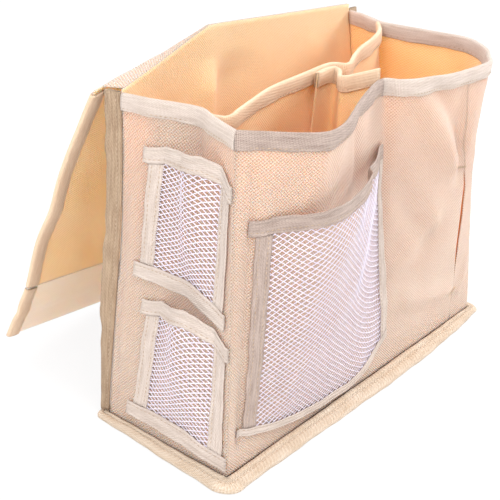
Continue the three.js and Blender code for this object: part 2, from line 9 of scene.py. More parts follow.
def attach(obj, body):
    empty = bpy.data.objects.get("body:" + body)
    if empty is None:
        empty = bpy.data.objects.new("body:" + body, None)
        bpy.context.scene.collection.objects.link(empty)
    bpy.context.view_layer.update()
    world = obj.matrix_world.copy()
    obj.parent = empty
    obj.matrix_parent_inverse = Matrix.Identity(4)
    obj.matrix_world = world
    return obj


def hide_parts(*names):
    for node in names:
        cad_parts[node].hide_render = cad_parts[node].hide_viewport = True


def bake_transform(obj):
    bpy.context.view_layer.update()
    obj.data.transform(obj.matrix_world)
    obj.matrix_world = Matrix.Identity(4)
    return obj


# A cloth bedside caddy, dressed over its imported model. Sizes are in millimetres until they reach a mesh.
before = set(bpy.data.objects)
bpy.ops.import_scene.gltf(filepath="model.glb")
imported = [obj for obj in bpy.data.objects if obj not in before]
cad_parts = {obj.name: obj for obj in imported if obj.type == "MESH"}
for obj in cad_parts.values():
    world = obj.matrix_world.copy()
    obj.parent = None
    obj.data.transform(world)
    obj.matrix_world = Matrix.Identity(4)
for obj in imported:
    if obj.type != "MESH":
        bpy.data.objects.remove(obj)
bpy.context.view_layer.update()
scene = bpy.context.scene

WIDTH = 330.0
DEPTH = 110.0
RIM = 240.0
CLOTH = 1.2
TAPE_WIDTH = 10.5
TAPE_STOUT = 0.8
TAPE_STEP = 2.2
POCKET_TAPE = 11.0
POCKET_OUT = 0.5
POCKET_LEFT_END = 4.5
NET_STOUT = 0.4
NET_SHARE = 0.52
GAP = 0.3
BOARD = 2.5
FOOT = CLOTH + GAP
BOARD_TOP = FOOT + BOARD
CLOTH_TOP = RIM - GAP - TAPE_STOUT
WALL = CLOTH_TOP - FOOT
INSIDE = CLOTH + 2 * GAP
FRONT_START = DEPTH
FRONT_END = DEPTH + WIDTH
BACK_START = FRONT_END + DEPTH
BACK_END = BACK_START + WIDTH
PINCH = 0.532
PINCH_LIFT = 7.0
PINCH_REACH = 30.0
LONG_DIVIDER = 0.776
VISIBLE_CLOTH = 1.0

# The rim's route: a share along the wall's foot, then shares of the width and of the depth
LEFT_RIM = [
    (0, 0.029, 1.009), (0.22, 0.045, 0.824), (0.38, 0.065, 0.679), (0.54, 0.078, 0.523),
    (0.67, 0.062, 0.412), (0.82, 0.046, 0.283), (1, 0.031, 0.154)
]
FRONT_RIM = [
    (0, 0.031, 0.154), (0.045, 0.064, 0.045), (0.092, 0.097, -0.066), (0.146, 0.136, -0.171),
    (0.181, 0.171, -0.206), (0.235, 0.225, -0.175), (0.324, 0.308, -0.076), (0.43, 0.409, 0.048),
    (PINCH, 0.505, 0.13), (0.575, 0.533, 0.044), (0.652, 0.589, -0.039), (0.735, 0.656, -0.11),
    (0.852, 0.753, -0.136), (0.93, 0.815, -0.13), (1, 0.858, -0.055)
]
RIGHT_RIM = [
    (0, 0.858, -0.055), (0.12, 0.909, 0.051), (0.25, 0.955, 0.269), (0.48, 0.937, 0.573),
    (0.68, 0.916, 0.89), (LONG_DIVIDER, 0.928, 1.03), (0.88, 0.942, 1.15), (1, 0.949, 1.299)
]
BACK_RIM = [(0, 0.949, 1.299), (0.31, 0.667, 1.2), (0.69, 0.317, 1.095), (1, 0.029, 1.009)]
LONG_RIM = [
    (0, 0.062, 0.82), (0.055, 0.088, 0.69), (0.1, 0.108, 0.54), (0.132, 0.1, 0.44),
    (0.152, 0.096, 0.38), (0.171, 0.112, 0.36), (0.204, 0.142, 0.385), (0.26, 0.196, 0.432),
    (0.35, 0.29, 0.505), (0.475, 0.419, 0.542), (0.555, 0.503, 0.564), (0.582, 0.53, 0.537),
    (0.601, 0.54, 0.483), (0.627, 0.567, 0.496), (0.68, 0.615, 0.568), (0.751, 0.685, 0.65),
    (0.825, 0.761, 0.713), (0.905, 0.839, 0.804), (0.96, 0.88, 0.885), (1, 0.905, 0.945)
]
CROSS_RIM = [
    (0, 0.438, 0.49), (0.17, 0.478, 0.505), (0.26, 0.5, 0.49), (0.34, 0.494, 0.44), (0.46, 0.472, 0.39),
    (0.56, 0.458, 0.35), (0.68, 0.477, 0.3), (0.85, 0.497, 0.222), (1, 0.506, 0.162)
]

# The walls swell at the waist. Places are shares of the width from the front's left corner.
WAIST_SWELL = 6.6
SWELLS = [
    (-0.34, -0.35), (-0.25, 0), (0.88, 0), (1, -0.9), (1.12, -0.3), (1.33, 0), (2.25, 0), (2.34, -0.35)
]

# The slit beside the tissue compartment
SLIT_OPENING = 7.0
SLIT_CLOSED = 0.05
SLIT_FOOT = 0.13
SLIT_HEAD = 0.64
SLIT_SEAM = [(-1, 0.9), (0, 0.9), (SLIT_FOOT, 0.898), (SLIT_HEAD, 0.883), (1, 0.812), (2, 0.812)]

# The ridge that the back panel folds over, and the flap and band that hang from it
RIDGE_PEAK = 0.69
RIDGE_LIFT_RIGHT = 6.0
RIDGE_LIFT_PEAK = 27.0
RIDGE_LIFT_LEFT = 3.0
FLAP_BOW = 6.0
FLAP_INSET = 5.0
FLAP_OVERHANG = 4.0
FLAP_CORNER_DROP = 8.0
SEAM_LEFT = (147.0, 67.0)
SEAM_RIGHT = (172.0, 26.0)
BAND_LEFT = (169.0, 21.0)
BAND_MIDDLE = (178.0, 1.2)
BAND_RIGHT = (218.0, 1.2)
BAND_FLOOR = 0.36
BAND_SHORTEST = 0.978
BAND_LONGER = 0.13
BAND_TURN = 0.66

# Where walls of the shell start along it, and how long they are
BACK = (BACK_START, WIDTH)
FRONT = (FRONT_START, WIDTH)
LEFT = (0.0, DEPTH)

# Soft creases: on which wall, the two ends as a share along it and a height, how far out, and how wide
CREASES = [
    (BACK, (0.69, 252), (0.72, 165), -9.0, 13.0),
    (BACK, (0.6, 250), (0.62, 150), 4.5, 24.0),
    (FRONT, (0.615, 232), (0.8, 165), 4.5, 12.0),
    (FRONT, (0.68, 236), (0.84, 172), -3.9, 10.0),
    (FRONT, (0.58, 160), (0.72, 105), -3.6, 12.0),
    (FRONT, (0.6, 92), (0.74, 118), 3.3, 10.0),
    (FRONT, (0.66, 55), (0.86, 38), 3.6, 9.0),
    (FRONT, (0.8, 215), (0.86, 150), -3.3, 10.0),
    (FRONT, (0.36, 225), (0.4, 180), -3.0, 8.0),
    (FRONT, (0.16, 226), (0.14, 190), 2.7, 9.0),
    (FRONT, (0.033, 215), (0.035, 20), -3.6, 4.0),
    (LEFT, (0.05, 160), (0.05, 20), -3.0, 5.0),
    (FRONT, (0.93, 30), (0.99, 60), 3.3, 7.0),
    (LEFT, (0.1, 60), (0.14, 170), 2.4, 7.0),
    (LEFT, (0.1, 225), (0.5, 215), -2.1, 9.0),
]

# How far the cloth is uneven between its creases, and how far from a seam the seam still holds it flat
WALL_UNEVEN = 1.1
DIVIDER_UNEVEN = 1.4
FLAP_UNEVEN = 2.2
SEAM_HOLD = 9.0
DIVIDER_HOLD = 20.0

# The left end of the long divider's rim hangs lower
LONG_DROP = 6.0
LONG_DROP_END = 58.0
LONG_DROP_RUN = 22.0

# How brightly the pale room lights the bag. The camera sees it pure white.
ROOM_LIGHT = 0.77


def table(rows, places):
    """Reads a table of (place, value) rows, straight between the rows"""
    return np.interp(places, [row[0] for row in rows], [row[1] for row in rows])


def unit(vectors):
    return vectors / np.linalg.norm(vectors, axis=-1, keepdims=True)


def spread(*values):
    """The values as arrays of one shape"""
    return np.broadcast_arrays(*(np.asarray(value, float) for value in values))


def ramp(value):
    """The value, held between 0 and 1"""
    return np.clip(value, 0, 1)


def ripple(a, b, seed):
    """A smooth uneven field of about -1 to 1"""
    rng = np.random.default_rng(seed)
    field = np.zeros(np.broadcast(a, b).shape)
    for size, weight in ((120, 1.0), (75, 0.8), (46, 0.55), (28, 0.3)):
        for turn, phase in rng.uniform(0, 2 * math.pi, (3, 2)):
            turned = a * math.cos(turn) + b * math.sin(turn)
            field = field + weight * np.sin(2 * math.pi * turned / size + phase)
    return field / 4


def creased(along, height):
    """How far the soft creases stand out at each place"""
    out = 0 * along
    for (start, length), (first, low), (last, high), depth, wide in CREASES:
        begin = start + first * length
        run = np.array([start + last * length - begin, high - low], float)
        share = ramp(((along - begin) * run[0] + (height - low) * run[1]) / (run @ run))
        away = np.hypot(along - begin - share * run[0], height - low - share * run[1])
        out = out + depth * np.exp(-(away / wide) ** 2)
    return out


def curve(rows, steps=12):
    """A smooth line through the rows"""
    points = np.array(rows, float)
    points = np.vstack([2 * points[0] - points[1], points, 2 * points[-1] - points[-2]])
    t = np.linspace(0, 1, steps, endpoint=False)[:, None]
    runs = []
    for p0, p1, p2, p3 in zip(points, points[1:], points[2:], points[3:]):
        leave, arrive = (p2 - p0) / 2, (p3 - p1) / 2
        bend = 3 * (p2 - p1) - 2 * leave - arrive
        runs.append(p1 + leave * t + bend * t ** 2 + (2 * (p1 - p2) + leave + arrive) * t ** 3)
    return np.vstack(runs + [points[-2][None]])


def plan(shares):
    """Places on the floor from shares of the width and the depth"""
    return (np.asarray(shares, float) - 0.5) * np.array([WIDTH, DEPTH])


class Wall:
    """A wall of cloth ruled between its foot and its rim"""

    def __init__(self, routes, foot_height, closed=False):
        along, foot, rim, start = [], [], [], 0.0
        for rows, begin, end in routes:
            begin, end = np.array(begin, float), np.array(end, float)
            length = float(np.linalg.norm(end - begin))
            points = curve(rows)[1 if along else 0:]
            along.append(start + points[:, 0] * length)
            foot.append(begin + (end - begin) * points[:, :1])
            rim.append(plan(points[:, 1:]))
            start += length
        self.length = start
        self.along, self.foot, self.rim = np.concatenate(along), np.vstack(foot), np.vstack(rim)
        self.foot_height, self.closed = foot_height, closed
        self.foot_out, self.rim_out = self.outward(self.foot), self.outward(self.rim)
        self.lift = self.swell = lambda along: 0 * along
        self.relief = lambda along, rise: 0 * along

    def outward(self, line):
        sides = unit(np.diff(line, axis=0))
        before = np.vstack([sides[-1] if self.closed else sides[0], sides])
        after = np.vstack([sides, sides[0] if self.closed else sides[-1]])
        first, second = (np.column_stack([side[:, 1], -side[:, 0]]) for side in (before, after))
        middle = unit(first + second)
        return middle / np.maximum((middle * first).sum(1), 0.6)[:, None]

    def place(self, along, rise, out):
        """A place so far along the wall, up it as a share of its height, and out of it"""
        along, rise, out = spread(along, rise, out)
        waist_shape = 27 / 4 * rise ** 2 * (1 - rise)
        out = out + self.swell(along) * waist_shape + self.relief(along, rise)
        lines = (self.foot, self.foot_out, self.rim, self.rim_out)
        foot, foot_out, rim, rim_out = (
            np.stack([np.interp(along, self.along, line[:, axis]) for axis in (0, 1)], -1) for line in lines)
        low, high = foot + foot_out * out[..., None], rim + rim_out * out[..., None]
        flat = low + (high - low) * rise[..., None]
        height = self.foot_height + (CLOTH_TOP + self.lift(along) - self.foot_height) * rise
        return np.concatenate([flat, height[..., None]], -1)


def shell_relief(along, rise):
    """Creases and unevenness, which die away at the seams and the edges"""
    still = 1 + 0 * along
    for seam in (0, FRONT_START, FRONT_END, BACK_START, BACK_END):
        still = still * (1 - np.exp(-((along - seam) / SEAM_HOLD) ** 2))
    hem = ramp(rise / 0.08) * np.clip((1.03 - rise) / 0.1, 0.15, 1)
    height = rise * WALL
    return (WALL_UNEVEN * ripple(along, height, 5) + creased(along, height)) * still * hem


def divider_relief(length, seed):
    """The unevenness of a divider, which dies away at its edges and ends"""
    def relief(along, rise):
        hem = ramp(rise / 0.15) * ramp((1.02 - rise) / 0.15)
        sides = ramp(along / DIVIDER_HOLD) * ramp((length - along) / DIVIDER_HOLD)
        return DIVIDER_UNEVEN * ripple(along, rise * WALL, seed) * hem * sides
    return relief


def waist(along):
    """How far the walls swell at their waist"""
    return WAIST_SWELL * table(SWELLS, (along - FRONT_START) / WIDTH)


corners = plan([(0, 1), (0, 0), (1, 0), (1, 1), (0, 1)])
shell = Wall(list(zip((LEFT_RIM, FRONT_RIM, RIGHT_RIM, BACK_RIM), corners, corners[1:])), FOOT, closed=True)
shell.swell = waist
shell.relief = shell_relief

LONG_Y = (LONG_DIVIDER - 0.5) * DEPTH
CROSS_X = (PINCH - 0.5) * WIDTH
long_wall = Wall([(LONG_RIM, (INSIDE - WIDTH / 2, LONG_Y), (WIDTH / 2 - INSIDE, LONG_Y))], BOARD_TOP + GAP)
long_wall.relief = divider_relief(long_wall.length, 11)
long_wall.lift = lambda along: -LONG_DROP * ramp((LONG_DROP_END - along) / LONG_DROP_RUN)
cross_wall = Wall([(CROSS_RIM, (CROSS_X, LONG_Y - INSIDE), (CROSS_X, INSIDE - DEPTH / 2))], BOARD_TOP + GAP)
cross_wall.relief = divider_relief(cross_wall.length, 17)
cross_wall.lift = lambda along: PINCH_LIFT * np.maximum(0, (along - cross_wall.length) / PINCH_REACH + 1)


def ridge_rise(along):
    """Where the back panel's cloth folds over, as a share of the walls' height"""
    peak = BACK_START + RIDGE_PEAK * WIDTH
    lifts = (RIDGE_LIFT_RIGHT, RIDGE_LIFT_PEAK, RIDGE_LIFT_LEFT)
    return 1 + np.interp(along, [BACK_START, peak, BACK_END], lifts) / WALL


def ridge_point(along):
    places = np.array([along], float)
    return shell_plain(places, ridge_rise(places), CLOTH / 2)[0]


def shell_plain(along, rise, out):
    """A place on the shell with its creases pressed flat"""
    return shell.place(along, rise, out - shell.relief(*np.broadcast_arrays(along, rise)))


left_edge = FLAP_INSET - WIDTH / 2
ridge_right = ridge_point(BACK_START)
ridge_left = ridge_point(BACK_END)
hinge_peak = ridge_point(BACK_START + RIDGE_PEAK * WIDTH)
hinge_right = ridge_right + (hinge_peak - ridge_right) * (-FLAP_OVERHANG / (ridge_right[0] - hinge_peak[0]))
peak_reach = hinge_right[0] - hinge_peak[0]
hinge_left = hinge_right + (hinge_peak - hinge_right) * (hinge_right[0] - left_edge) / peak_reach
peak_share = peak_reach / (hinge_right[0] - left_edge)
seam_left = np.array([left_edge, *SEAM_LEFT])
seam_right = np.array([hinge_right[0], *SEAM_RIGHT])
flap_length = float(np.linalg.norm(hinge_left - seam_left))
flap_width = float(np.linalg.norm(hinge_left - hinge_right))


def hung(top, foot, down, out, along):
    """A place on cloth that hangs from top to foot; out is towards the back"""
    hang = foot - top
    back = unit(np.cross(np.broadcast_to(along, hang.shape), hang))
    back = back * np.where(back[..., 1:2] < 0, -1, 1)
    return top + hang * down[..., None] + back * out[..., None]


def on_flap(share, down, out):
    """A place on the flap: across it from the right, down it, and out towards the back"""
    share, down, out = spread(share, down, out)
    top = hinge_right + (hinge_left - hinge_right) * share[..., None]
    foot = seam_right + (seam_left - seam_right) * share[..., None]
    bow = FLAP_BOW * np.sin(math.pi * ramp(down) ** 1.4)
    rest = ramp(down / 0.15) * ramp((1 - down) / 0.1)
    across, height = share * flap_width, down * flap_length
    edge = np.clip((1 - share) / 0.2, 0.25, 1)
    fold_height, fold_lean, fold_depth, fold_wide = 150, 0.25, 3.0, 20
    below_fold = height - fold_height - fold_lean * (flap_width - across)
    fold = fold_depth * np.exp(-(below_fold / fold_wide) ** 2) * ramp(share * 2 - 0.6)
    uneven = (FLAP_UNEVEN * ripple(across, height, 23) * edge - fold) * rest
    return hung(top, foot, down, bow + uneven + out, hinge_left - hinge_right)


def on_band(share, down, out):
    """A place on the end band, given as on the flap. Its right part lies on the floor."""
    share, down, out = spread(share, down, out)
    top = seam_right + (seam_left - seam_right) * share[..., None]
    reach = hinge_right[0] - left_edge
    places = [0, BAND_FLOOR, 1]
    back_and_up = [np.interp(1 - share, places, values) for values in zip(BAND_LEFT, BAND_MIDDLE, BAND_RIGHT)]
    foot = np.stack([left_edge + reach * (1 - share)] + back_and_up, -1)
    crease_lean, crease_depth, crease_wide = 0.3, 1.2, 0.12
    below_crease = down - 0.5 - crease_lean * (share - 0.8)
    crease = crease_depth * np.exp(-(below_crease / crease_wide) ** 2) * ramp(down * (1 - down) * 4)
    return hung(top, foot, down, out - crease, seam_left - seam_right)


def flap_start(share, gap):
    """How far down the flap's cloth starts, lower left of the peak"""
    drop = (hinge_left[2] - ridge_left[2] + FLAP_CORNER_DROP) / flap_length
    return gap / flap_length + drop * np.maximum(0, (share - peak_share) / (1 - peak_share))


class Value:
    """A number or colour in a material's nodes, with ordinary arithmetic"""

    def __init__(self, tree, socket):
        self.tree, self.socket = tree, socket

    def node(self, kind, settings=None, sockets=None, output=0):
        made = self.tree.nodes.new("ShaderNode" + kind)
        for name, value in (settings or {}).items():
            setattr(made, name, value)
        for name, value in (sockets or {}).items():
            if isinstance(value, Value):
                self.tree.links.new(value.socket, made.inputs[name])
            else:
                made.inputs[name].default_value = value
        return Value(self.tree, made.outputs[output])

    def math(self, operation, first, second=0.0):
        return self.node("Math", {"operation": operation}, {0: first, 1: second})

    def __add__(self, other):
        return self.math("ADD", self, other)

    __radd__ = __add__

    def __sub__(self, other):
        return self.math("SUBTRACT", self, other)

    def __rsub__(self, other):
        return self.math("SUBTRACT", other, self)

    def __mul__(self, other):
        return self.math("MULTIPLY", self, other)

    __rmul__ = __mul__

    def sin(self):
        return self.math("SINE", self)

    def between(self, low, high):
        """0 at low and below, 1 at high and above"""
        return self.node("MapRange", {}, {"Value": self, "From Min": low, "From Max": high})

    def mix(self, first, second):
        return self.node("Mix", {"data_type": "RGBA"}, {"Factor": self, 6: first, 7: second}, 2)

    def noise(self, scale, detail=2.0):
        return self.node("TexNoise", {}, {"Vector": self, "Scale": scale, "Detail": detail})


def rgb(red, green, blue):
    """A colour from its values on screen"""
    shares = [value / 255 for value in (red, green, blue)]
    return tuple(v / 12.92 if v <= 0.04045 else ((v + 0.055) / 1.055) ** 2.4 for v in shares) + (1.0,)


def finish(name, paint, **constants):
    """A material from paint(u, v, place): its colour, roughness, relief and the relief's depth in metres"""
    made = bpy.data.materials.new(name)
    made.use_nodes = True
    tree = made.node_tree
    shader = tree.nodes["Principled BSDF"]
    cloth_map = tree.nodes.new("ShaderNodeUVMap")
    cloth_map.uv_map = "cloth"
    start = Value(tree, cloth_map.outputs[0])
    u, v = (start.node("SeparateXYZ", {}, {0: start}, axis) for axis in (0, 1))
    place = Value(tree, tree.nodes.new("ShaderNodeTexCoord").outputs["Object"])
    colour, roughness, relief, depth = paint(u, v, place)
    bump = start.node("Bump", {}, {"Height": relief, "Distance": depth, "Strength": 1.0})
    for socket, value in (("Base Color", colour), ("Roughness", roughness), ("Normal", bump)):
        tree.links.new(value.socket, shader.inputs[socket])
    shader.inputs["Subsurface Radius"].default_value = (1.0, 0.62, 0.42)
    shader.inputs["Subsurface Scale"].default_value = 0.005
    for socket, value in constants.items():
        shader.inputs[socket.replace("_", " ").title().replace("Ior", "IOR")].default_value = value
    return made


def weave(u, v, pitch):
    """Crests where the threads of a plain weave cross over, from 0 to 1"""
    turn = 2 * math.pi / pitch
    return (u * turn).sin() * (v * turn).sin() * 0.5 + 0.5


def cloth_finish(name, pale, shaded, pitch, depth, glow=None, through=0.6):
    """Woven cloth. Its colour runs from shaded to pale: the weave's crests are painted light and the hollows
    between them painted shade, while cloud and fleck are the cloth's own uneven tone. With glow, the warm
    light that passes through the cloth and bounces inside the bag is painted in that colour low down. through
    is how much light passes into it.
    """
    def paint(u, v, place):
        thread = weave(u, v, pitch)
        cloud = place.noise(16.0, 3.0)
        fleck = place.noise(650.0)
        # Painted light and shade on the weave: crests pale, hollows shaded, over the cloth's own uneven tone
        tone = (thread * 0.9 + cloud * 0.35 + fleck * 0.3).between(0.3, 1.25)
        colour = tone.mix(shaded, pale)
        # Painted glow: low on the wall the colour turns to the deeper orange of light passing through the
        # cloth and bouncing inside
        if glow:
            low = 1 - (v + cloud * 60).between(90, 262)
            colour = (low * 0.9 + 0.1).mix(colour, tone.mix(glow[1], glow[0]))
        return colour, fleck * 0.1 + 0.8, thread + fleck * 0.4, depth
    return finish(name, paint, specular_ior_level=0.22, sheen_weight=0.12, sheen_roughness=0.5,
                  subsurface_weight=through)


def tape_finish(name, pale, shaded, rib, depth):
    """Woven tape with fine ribs across it and paler streaks along it. The crests of its ribs and chevrons are
    painted light and their hollows painted shade; the streaks, cloud and fleck are the tape's own uneven
    tone.
    """
    def paint(u, v, place):
        ribs = (u * (2 * math.pi / rib)).sin() * 0.5 + 0.5
        chevron = (v * (2 * math.pi / 1.1) + u * 1.9).sin() * 0.5 + 0.5
        streak = u.node("CombineXYZ", {}, {0: u * 0.05, 1: v * 0.8}).noise(1.0, 3.0)
        cloud = place.noise(70.0, 4.0)
        fleck = place.noise(900.0)
        tone = (ribs * 0.25 + chevron * 0.2 + streak * 0.9 + cloud * 0.3 + fleck * 0.3).between(0.6, 1.3)
        return tone.mix(shaded, pale), cloud * 0.1 + 0.76, ribs * 0.7 + chevron * 0.6 + fleck * 0.7, depth
    return finish(name, paint, specular_ior_level=0.25, sheen_weight=0.1, sheen_roughness=0.5)


def thread_finish(name, pale, shaded):
    """Smooth thread with a little grain"""
    def paint(u, v, place):
        fleck = place.noise(500.0)
        return fleck.between(0.3, 0.7).mix(shaded, pale), fleck * 0.2 + 0.5, fleck, 0.0001
    return finish(name, paint, specular_ior_level=0.35)


outer_cloth = cloth_finish("outer_cloth", rgb(235, 210, 194), rgb(195, 155, 133), 2.3, 0.0008)
# The inside faces: the same cream cloth painted orange for the light that passes through the walls and
# bounces inside, with a deeper orange painted glow low down
lining_cloth = cloth_finish("lining_cloth", rgb(254, 216, 180), rgb(250, 190, 140), 2.1, 0.0004,
                            (rgb(254, 184, 126), rgb(252, 162, 96)))
# The flap's underside: the same cloth painted orange for the light that passes through the flap and bounces
# under it
flap_cloth = cloth_finish("flap_inside_painted_glow", rgb(254, 212, 180), rgb(254, 194, 156), 1.8, 0.0002, through=1.0)
# The band's inside: the same cloth painted paler, as painted light where the band tilts towards the light
band_cloth = cloth_finish("band_cloth", rgb(252, 230, 218), rgb(240, 210, 196), 1.3, 0.0002, through=1.0)
# Shaded and lit copies of one tape: the darker is painted shade, the paler painted light and sheen
shaded_tape = tape_finish("shaded_tape", rgb(214, 194, 183), rgb(150, 128, 117), 0.9, 0.0004)
lit_tape = tape_finish("lit_tape", rgb(238, 224, 214), rgb(198, 178, 164), 0.9, 0.0004)
# A darker tan copy of the tape, as painted shade
corner_tape = tape_finish("corner_tape", rgb(208, 182, 154), rgb(142, 112, 86), 0.9, 0.0004)
# A warmer orange copy of the tape, painted for the light that passes through the cloth beside it
flap_tape = tape_finish("flap_tape", rgb(250, 224, 196), rgb(232, 196, 160), 0.9, 0.0003)
base_tape = tape_finish("base_tape", rgb(226, 210, 192), rgb(196, 170, 142), 1.2, 0.0005)
mesh_thread = thread_finish("mesh_thread", rgb(244, 238, 248), rgb(224, 214, 234))
sewing_thread = thread_finish("sewing_thread", rgb(214, 190, 166), rgb(176, 148, 122))
board_paper = cloth_finish("board_paper", rgb(222, 200, 172), rgb(200, 174, 142), 2.0, 0.0001)


def grid(columns, rows):
    """A flat sheet of faces, one unit each way from the origin"""
    mesh = bmesh.new()
    bmesh.ops.create_grid(mesh, x_segments=columns, y_segments=rows, size=0.5,
                          matrix=Matrix.Translation((0.5, 0.5, 0)))
    return mesh


def grid_shares(mesh):
    """How far each corner of a grid lies along it and up it"""
    places = np.array([vert.co[:2] for vert in mesh.verts])
    return places[:, 0], places[:, 1]


def lay(mesh, points, u, v):
    """Moves a grid to points and keeps u and v as the cloth's own map, all in millimetres"""
    layer = mesh.loops.layers.uv.new("cloth")
    mesh.verts.index_update()
    for vert, point in zip(mesh.verts, (points / 1000).tolist()):
        vert.co = point
    for face in mesh.faces:
        face.smooth = True
        for loop in face.loops:
            loop[layer].uv = (u[loop.vert.index], v[loop.vert.index])


def add_object(name, data):
    """A new object in the scene"""
    made = bpy.data.objects.new(name, data)
    scene.collection.objects.link(made)
    return made


def add_mesh(name, mesh):
    """The object made from a finished mesh"""
    data = bpy.data.meshes.new(name)
    mesh.to_mesh(data)
    mesh.free()
    return add_object(name, data)


def to_piece(mesh, name, node, body, slot, *finishes):
    """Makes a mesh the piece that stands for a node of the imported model"""
    piece = add_mesh(name, mesh)
    for each in finishes:
        piece.data.materials.append(each)
    if node:
        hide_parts(node)
    if body:
        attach(piece, body)
    return piece


def thicken(piece, thickness, back=0):
    """Gives a sheet its thickness in millimetres. back is the slot of its far face's finish."""
    stout = piece.modifiers.new("thickness", "SOLIDIFY")
    stout.thickness = thickness / 1000
    stout.offset = 0
    stout.material_offset = back


def tape_piece(mesh, name, node, tape_cloth, body="bag"):
    """A tape with its sewing thread"""
    return to_piece(mesh, name, node, body, "bias_tape", tape_cloth, sewing_thread)


def face_out(mesh, outward):
    """Turns a sheet's faces towards outward, one vector for each vertex"""
    mesh.normal_update()
    if sum(vert.normal.dot(Vector(side)) for vert, side in zip(mesh.verts, outward.tolist())) < 0:
        bmesh.ops.reverse_faces(mesh, faces=mesh.faces)


def cloth_sheet(name, node, body, slot, columns, rows, bend, size, face, back, thickness=VISIBLE_CLOTH):
    """A sheet of cloth with two faces. bend(across, up, out) places it, and size gives its map in mm."""
    mesh = grid(columns, rows)
    across, up = grid_shares(mesh)
    middle = bend(across, up, 0.0)
    lay(mesh, middle, *size(across, up))
    face_out(mesh, bend(across, up, 1.0) - middle)
    piece = to_piece(mesh, name, node, body, slot, face, back)
    thicken(piece, thickness, 1)
    return piece


def run_along(points):
    """How far along a line each of its points lies"""
    return np.concatenate([[0], np.cumsum(np.linalg.norm(np.diff(points, axis=0), axis=1))])


def swept(section, steps, bend, closed=False):
    """A closed section swept along a route. bend(share, over, out) places it."""
    section = np.array(section, float)
    count = len(section)
    mesh = grid(count, steps)
    around, along = grid_shares(mesh)
    corner = np.round(around * count).astype(int)
    over, out = section[corner % count].T
    points = bend(along, over, out)
    girth = run_along(np.vstack([section, section[:1]]))
    middle = np.array([points[np.abs(along - step) < 1e-6].mean(0) for step in np.linspace(0, 1, steps + 1)])
    lay(mesh, points, np.interp(along, np.linspace(0, 1, steps + 1), run_along(middle)), girth[corner])
    bmesh.ops.remove_doubles(mesh, verts=mesh.verts, dist=1e-7)
    if not closed:
        bmesh.ops.holes_fill(mesh, edges=[edge for edge in mesh.edges if edge.is_boundary])
    bmesh.ops.recalc_face_normals(mesh, faces=mesh.faces)
    return mesh


def sew(mesh, places, path, wide=0.65, long=2.3):
    """Threads along a seam: path(place) gives points, and path(place, 1) points further along"""
    here, ahead, outside = path(places, 0.0, 0.0), path(places, 1.0, 0.0), path(places, 0.0, 1.0)
    for point, run, out in zip(here, unit(ahead - here), unit(outside - here)):
        side = np.cross(run, out)
        axes = np.column_stack([run * long / 2, side * wide / 2, out * wide * 0.45]) / 1000
        turn = Matrix(axes.tolist()).to_4x4()
        made = bmesh.ops.create_icosphere(mesh, subdivisions=1, radius=1.0,
                                          matrix=Matrix.Translation((point / 1000).tolist()) @ turn)
        for face in {face for vert in made["verts"] for face in vert.link_faces}:
            face.material_index = 1
            face.smooth = True


def seam_places(start, end, first=2.0, pitch=3.3):
    """Where a seam's stitches sit along it"""
    return np.arange(start + first, end - first, pitch)


def sewn_sheet(piece, wide, tall, held, *tapes, area=None):
    """Takes a sheet's cut size in millimetres and does nothing with it; the sheet, how it is held, its tapes
    and its area are not used
    """
    wide / 1000
    tall / 1000


def wall_panel(node, start, end, top, columns, rows=80):
    """A panel of the shell between the lines start(rise) and end(rise), up to top(along)"""
    def route(across, up):
        along = start(up) + (end(up) - start(up)) * across
        return along, up * top(along)

    def bend(across, up, out):
        along, rise = route(across, up)
        return shell.place(along, rise, out - CLOTH / 2)

    def size(across, up):
        along, rise = route(across, up)
        return along, rise * WALL

    return cloth_sheet(node + "_cloth", node, "bag", "outer_cloth", columns, rows, bend, size,
                       outer_cloth, lining_cloth)


def line_at(value):
    """An upright line on the shell"""
    return lambda rise: value + 0 * rise


def slit_seam(rise):
    """Where the slit's seam runs along the shell"""
    return FRONT_START + table(SLIT_SEAM, rise) * WIDTH


def slit_edge(side):
    """One edge of the tissue slit, which opens between its foot and its head"""
    def edge(rise):
        share = ramp((rise - SLIT_FOOT) / (SLIT_HEAD - SLIT_FOOT))
        return slit_seam(rise) + side * (SLIT_CLOSED + SLIT_OPENING / 2 * np.sin(math.pi * share ** 1.5))
    return edge


def folded_section(wide, front, back, stout=0.85):
    """A tape folded over an edge, with a groove where it is sewn. Points are how high and how far out."""
    face = [(-wide, 0.05), (-wide + 0.25, 0.75), (-wide + 1.1, 1.1), (-wide + 1.9, 0.85),
            (-wide + 2.7, 1.2), (-wide * 0.5, 1.3), (-1.6, 1.2)]
    middle, reach = (front + back) / 2, (front - back) / 2 + stout
    over = [(reach * math.sin(turn) - 0.2, middle + reach * math.cos(turn))
            for turn in np.linspace(0.3, 2.84, 6)]
    outside = [(high, front + stout * out) for high, out in face]
    inside = [(high, back - stout * out) for high, out in reversed(face)]
    lining = [(-wide, back), (-0.4, back), (0.1, middle), (-0.4, front), (-wide, front)]
    return outside + over + inside + lining


def frayed(place, wide, over):
    """Small waves along a tape's lower edge"""
    low = ramp(-over / wide) ** 2
    waves = 0.3 * np.sin(place * 0.21) + 0.15 * np.sin(place * 0.47 + 1) + 0.1 * np.sin(place * 1.13 + 2)
    return low * waves


